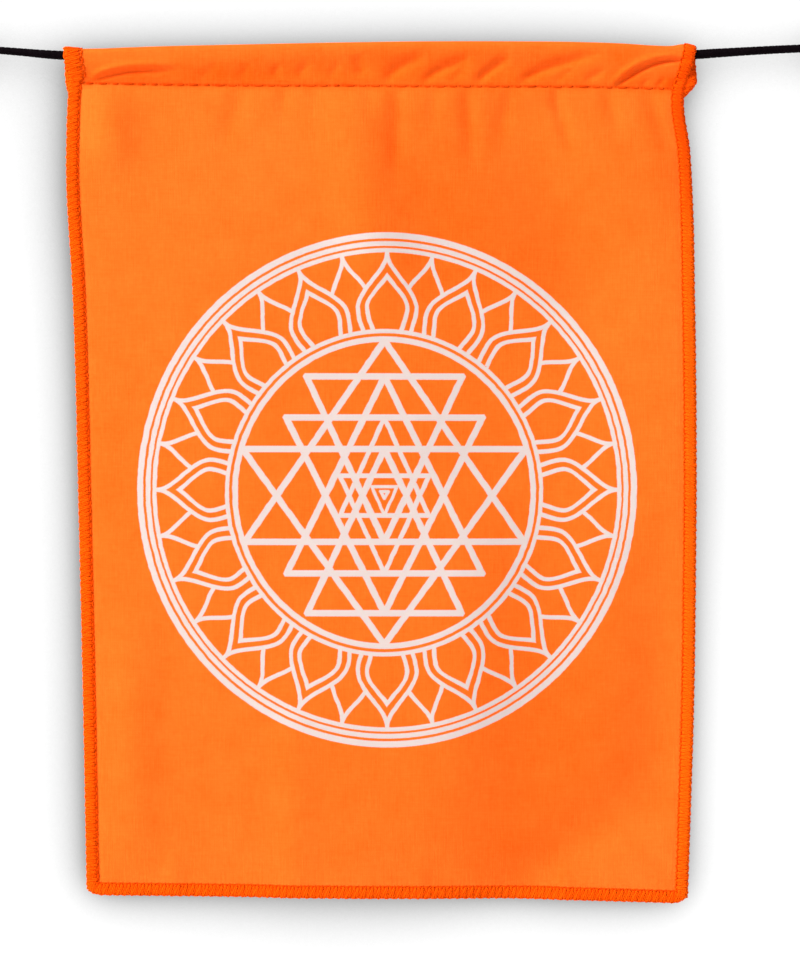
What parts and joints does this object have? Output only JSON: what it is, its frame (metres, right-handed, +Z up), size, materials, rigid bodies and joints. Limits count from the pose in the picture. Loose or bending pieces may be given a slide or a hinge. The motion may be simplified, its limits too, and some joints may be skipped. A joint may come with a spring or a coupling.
{
  "type": "prayer flag on a cord",
  "caption": "Upright rectangular cotton flag whose top sleeve hangs on a taut cord with a tied loop at each end.",
  "frame": {"origin": "bearing point inside the left loop, where a hook or nail holds the cord", "axes": "+X along the taut cord to the right loop, +Y away from the printed face, +Z up"},
  "size_m": [0.3016, 0.0066, 0.2574],
  "materials": {
    "cotton": "plain woven orange cotton, matte, with a pale screen print and orange overlock thread",
    "cord": "matte black twisted cord"
  },
  "bodies": {
    "root": {"flag_cloth": "cotton", "cord": "cord", "left_end_loop": "cord", "right_end_loop": "cord"}
  },
  "joints": []
}
